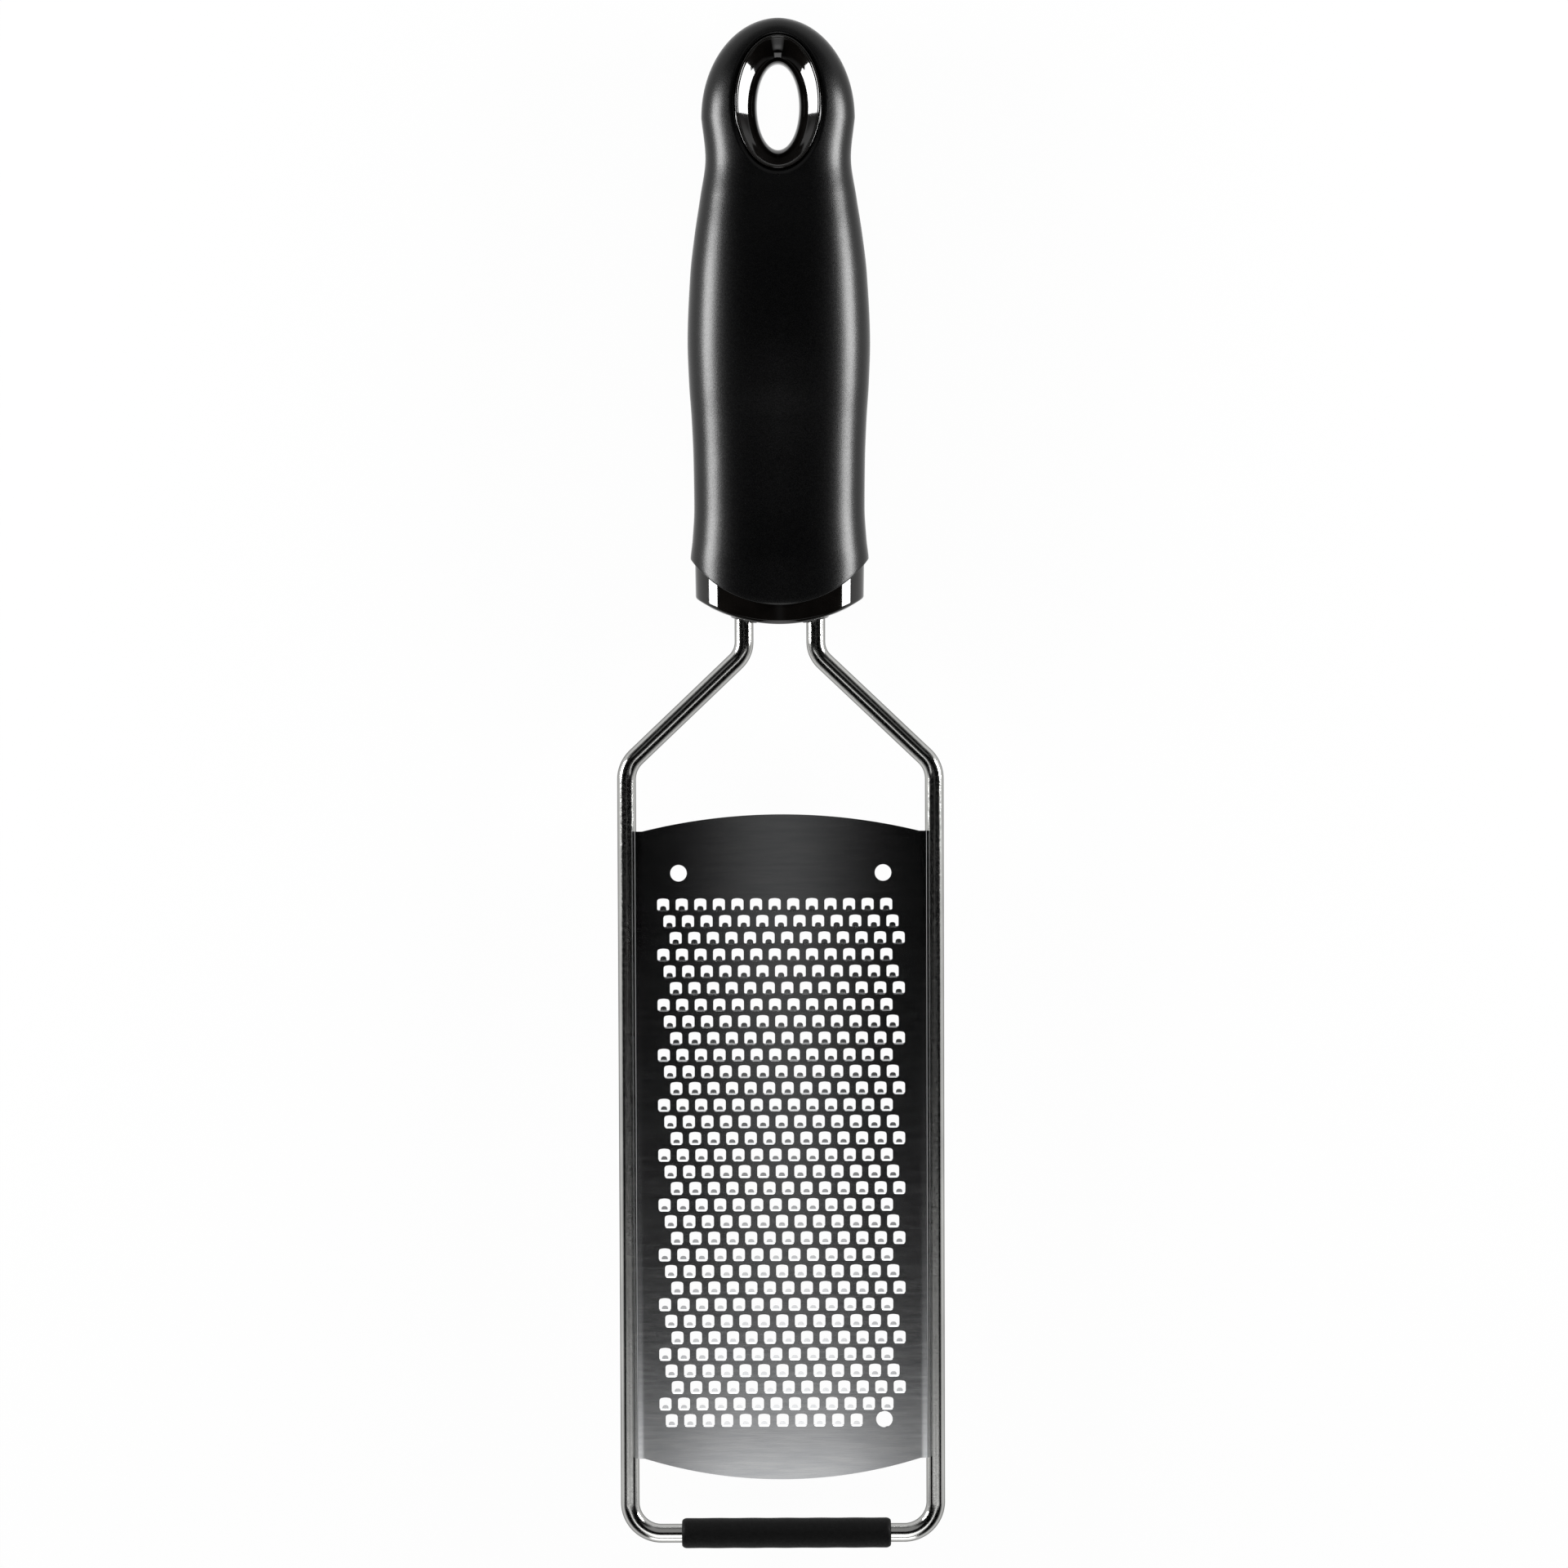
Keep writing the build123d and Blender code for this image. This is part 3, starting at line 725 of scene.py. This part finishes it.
def fold_sides(sheet):
    """The folded sides: round a tight bend and down to the rod."""
    edge_ys = sorted({round(p[1], 3) for p in sheet.points if abs(p[0] - FACE_X) < 1e-3})
    line, parts = [(FACE_X, FACE_Z)], 6
    for k in range(1, parts + 1):
        t = FOLD * k / parts
        line.append((FACE_X + FOLD_R * math.sin(t), FACE_Z - FOLD_R * (1 - math.cos(t))))
    x, z = line[-1]
    line += [(x + run * math.cos(FOLD), z - run * math.sin(FOLD)) for run in (0.4, 0.7, 0.95)]
    # the edge turns out a little where it meets the rod
    x, z = line[-1]
    line += [(x + 0.05, z - 0.04), (x + 0.11, z - 0.09)]
    for side in (1, -1):
        for (xa, za), (xb, zb) in zip(line, line[1:]):
            for a, b in zip(edge_ys, edge_ys[1:]):
                quad = [(side * xa, a, za), (side * xb, a, zb), (side * xb, b, zb), (side * xa, b, za)]
                sheet.face(*(quad if side > 0 else quad[::-1]))


def thicken(sheet):
    """Gives the sheet its underside and the walls along all open edges."""
    top = np.array(sheet.points)
    fold = np.clip((np.abs(top[:, 0]) - FACE_X) / FOLD_R, 0, 1)
    turn = np.minimum(np.arcsin(fold), FOLD)
    inward = np.stack([np.sign(top[:, 0]) * np.sin(turn), 0 * turn, np.cos(turn)], 1)
    count = len(top)
    edges = {(a, b) for face in sheet.faces for a, b in zip(face, face[1:] + face[:1])}
    walls = [[b, a, a + count, b + count] for a, b in edges if (b, a) not in edges]
    under = [[i + count for i in face[::-1]] for face in sheet.faces]
    return np.concatenate([top, top - SHEET * inward]), sheet.faces + under + walls


# one raised tooth, a short steep bend and a nearly level tab: way over the window, height, half width
TOOTH = ((-0.27, 0.001, 0.72), (-0.23, 0.0205, 0.84), (-0.17, 0.05, 0.97), (-0.1, 0.084, 1.06),
         (-0.02, 0.123, 1.1), (0.02, 0.1425, 0.66), (0.12, 0.1915, 0.64), (0.16, 0.1925, 0.64),
         (0.3, 0.196, 0.63), (0.5, 0.201, 0.6), (0.65, 0.2048, 0.52), (0.76, 0.2075, 0.4),
         (0.84, 0.2095, 0.2))


def make_teeth():
    """All the raised teeth, one closed shell for each."""
    n, m = len(TOOTH), 5
    tops = np.array([(half * x, way - WINDOW[1] / 2, height)
                     for way, height, half in TOOTH for x in np.linspace(-1, 1, m)])
    tooth = np.concatenate([tops, tops - (0, 0, TAB)])
    faces = grid_faces(n, m, close_columns=False)
    faces += grid_faces(n, m, start=n * m, close_columns=False, flip=True)
    rim = list(range(m)) + [r * m + m - 1 for r in range(1, n)]
    rim += [(n - 1) * m + k for k in range(m - 2, -1, -1)] + [r * m for r in range(n - 2, 0, -1)]
    faces += [(b, a, a + n * m, b + n * m) for a, b in zip(rim, rim[1:] + rim[:1])]
    places = [(x, FIRST_Y - row * ROW, FACE_Z) for row in range(TOOTH_ROWS) for x in tooth_columns(row)]
    all_points = np.concatenate([tooth + place for place in places])
    all_faces = np.concatenate([np.array(faces) + k * len(tooth) for k in range(len(places))])
    teeth = mesh_piece("blade_teeth", all_points, all_faces, BLADE, 12)


def make_blade():
    points, faces = thicken(make_sheet())
    piece = mesh_piece("blade_sheet", points, faces, BLADE, 25)
    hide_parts("blade")
    make_teeth()


make_blade()

# ---------------------------------------------------------------- hidden pieces keep their solids
for name, material in (("core_front", CORE), ("core_rear", CORE), ("blade_welds", WELD)):
    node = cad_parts[name]
    node.data.materials.clear()
    node.data.materials.append(material)


# ---------------------------------------------------------------- floor, from here on in metres
def make_floor():
    """A pale floor that the camera, metal and gloss see as white, with the object's shadow."""
    half, whiteness = 30.0, 0.96
    mesh = bpy.data.meshes.new("floor")
    mesh.from_pydata([(-half, -half, 0), (half, -half, 0), (half, half, 0), (-half, half, 0)], [],
                     [(0, 1, 2, 3)])
    floor = bpy.data.objects.new("floor", mesh)
    scene.collection.objects.link(floor)
    material = bpy.data.materials.new("floor")
    material.use_nodes = True
    tree = material.node_tree
    tree.nodes.clear()
    out = tree.nodes.new("ShaderNodeOutputMaterial")
    plain = tree.nodes.new("ShaderNodeBsdfDiffuse")
    plain.inputs["Color"].default_value = (0.85, 0.85, 0.85, 1)
    glow = tree.nodes.new("ShaderNodeEmission")
    glow.inputs["Color"].default_value = (1, 1, 1, 1)
    glow.inputs["Strength"].default_value = 1.0
    rays = tree.nodes.new("ShaderNodeLightPath").outputs
    seen = math_node(tree, "MAXIMUM", rays["Is Camera Ray"], rays["Is Glossy Ray"])
    seen = math_node(tree, "MAXIMUM", seen, rays["Is Transmission Ray"])
    mix = tree.nodes.new("ShaderNodeMixShader")
    tree.links.new(math_node(tree, "MULTIPLY", seen, whiteness), mix.inputs["Fac"])
    tree.links.new(plain.outputs[0], mix.inputs[1])
    tree.links.new(glow.outputs[0], mix.inputs[2])
    tree.links.new(mix.outputs[0], out.inputs["Surface"])
    mesh.materials.append(material)


make_floor()


# ---------------------------------------------------------------- world
def make_world():
    """A studio with a dark ceiling, pale panels on it, and paler surroundings low down."""
    world = bpy.data.worlds.new("studio")
    world.use_nodes = True
    scene.world = world
    tree = world.node_tree
    where = tree.nodes.new("ShaderNodeTexCoord")
    split = tree.nodes.new("ShaderNodeSeparateXYZ")
    tree.links.new(where.outputs["Generated"], split.inputs[0])
    up, to_handle = split.outputs["Z"], split.outputs["Y"]
    to_foot = math_node(tree, "MULTIPLY", to_handle, -1.0)
    across = math_node(tree, "ABSOLUTE", split.outputs["X"])

    def levels(value, *stops):
        return ramp_node(tree, value, [(place, (level,) * 3) for place, level in stops])

    # a panel beyond the foot: a near edge that fades in, and a wide part behind it
    panel = levels(to_foot, (0.08, 0.0), (0.12, 0.003), (0.15, 0.012), (0.17, 0.042), (0.182, 0.15),
                   (0.19, 0.28), (0.2, 0.4), (0.235, 0.48), (0.25, 0.0))
    panel_width = levels(across, (0.0, 3.0), (0.05, 2.9), (0.13, 1.0), (0.17, 4.0), (0.5, 4.0), (0.75, 0.0))
    behind = levels(to_foot, (0.235, 0.0), (0.25, 1.0), (0.72, 1.0), (0.78, 0.0))
    behind_width = levels(across, (0.0, 2.8), (0.1, 2.4), (0.2, 1.0), (0.28, 0.0))
    # a low card beyond the foot, which gets wider with distance
    card = levels(up, (0.0, 2.6), (0.505, 2.6), (0.53, 0.0))
    card_width = levels(math_node(tree, "DIVIDE", across, math_node(tree, "MAXIMUM", to_foot, 0.001)),
                        (0.0, 1.0), (0.26, 1.0), (0.32, 0.0))
    # a dim strip along the ceiling, from a little towards the handle
    strip_start, strip_width = 0.1, 0.062
    strip = levels(math_node(tree, "ADD", to_foot, strip_start),
                   (0.1, 0.0), (0.13, 0.1), (0.2, 0.09), (0.27, 0.1), (0.36, 0.0))
    strip_fall = math_node(tree, "MULTIPLY", math_node(tree, "POWER", across, 2.0), -1.0 / strip_width ** 2)
    strip_fall = math_node(tree, "EXPONENT", strip_fall)
    # a dim wall beyond the handle, and low strips at both sides
    wall = levels(to_handle, (0.3, 0.0), (0.42, 0.4), (0.85, 0.4), (0.98, 0.1))
    wall_width = levels(across, (0.0, 1.0), (0.35, 1.0), (0.55, 0.0))
    side = math_node(tree, "MULTIPLY", levels(up, (0.1, 0.0), (0.13, 1.0), (0.34, 1.0), (0.37, 0.0)),
                     levels(to_foot, (0.0, 0.0), (0.03, 1.0), (0.2, 1.0), (0.26, 0.0)))
    side_width = levels(across, (0.8, 0.0), (0.88, 0.6))
    # all of these over surroundings that are white at the horizon
    light = levels(up, (0.0, 1.0), (0.08, 1.0), (0.16, 0.28), (0.3, 0.2), (0.42, 0.0))
    for part, width in ((panel, panel_width), (behind, behind_width), (card, card_width),
                        (strip, strip_fall), (wall, wall_width), (side, side_width)):
        light = math_node(tree, "MAXIMUM", light, math_node(tree, "MULTIPLY", part, width))
    back = tree.nodes["Background"]
    tree.links.new(light, back.inputs["Color"])
    back.inputs["Strength"].default_value = 1.0


make_world()


# ---------------------------------------------------------------- lamps and camera
def softbox(name, side):
    """A soft box at one side of the handle, aimed at its middle."""
    away, along, height, aim_height = 0.62, 0.152, 0.17, 0.015
    light = bpy.data.lights.new(name, "AREA")
    light.shape = "RECTANGLE"
    light.size, light.size_y = 0.3, 0.2
    light.energy = 6.2
    lamp = bpy.data.objects.new(name, light)
    place = Vector((side * away, along, height))
    lamp.location = place
    lamp.rotation_mode = "QUATERNION"
    lamp.rotation_quaternion = (Vector((0, along, aim_height)) - place).to_track_quat("-Z", "Y")
    scene.collection.objects.link(lamp)


softbox("softbox_right", 1)
softbox("softbox_left", -1)


def make_camera():
    sensor, focal_pixels, picture_pixels = 36.0, 5987.0, 1920.0
    cam = bpy.data.cameras.new("camera")
    cam.sensor_fit = "HORIZONTAL"
    cam.sensor_width = sensor
    cam.lens = sensor * focal_pixels / picture_pixels
    cam.clip_start, cam.clip_end = 0.05, 30
    camera = bpy.data.objects.new("camera", cam)
    camera.location = (0.0009, 0.0504, 1.0)
    camera.rotation_euler = (math.radians(-2.862), 0, math.radians(-0.205))
    scene.collection.objects.link(camera)
    scene.camera = camera


make_camera()

bpy.context.view_layer.update()
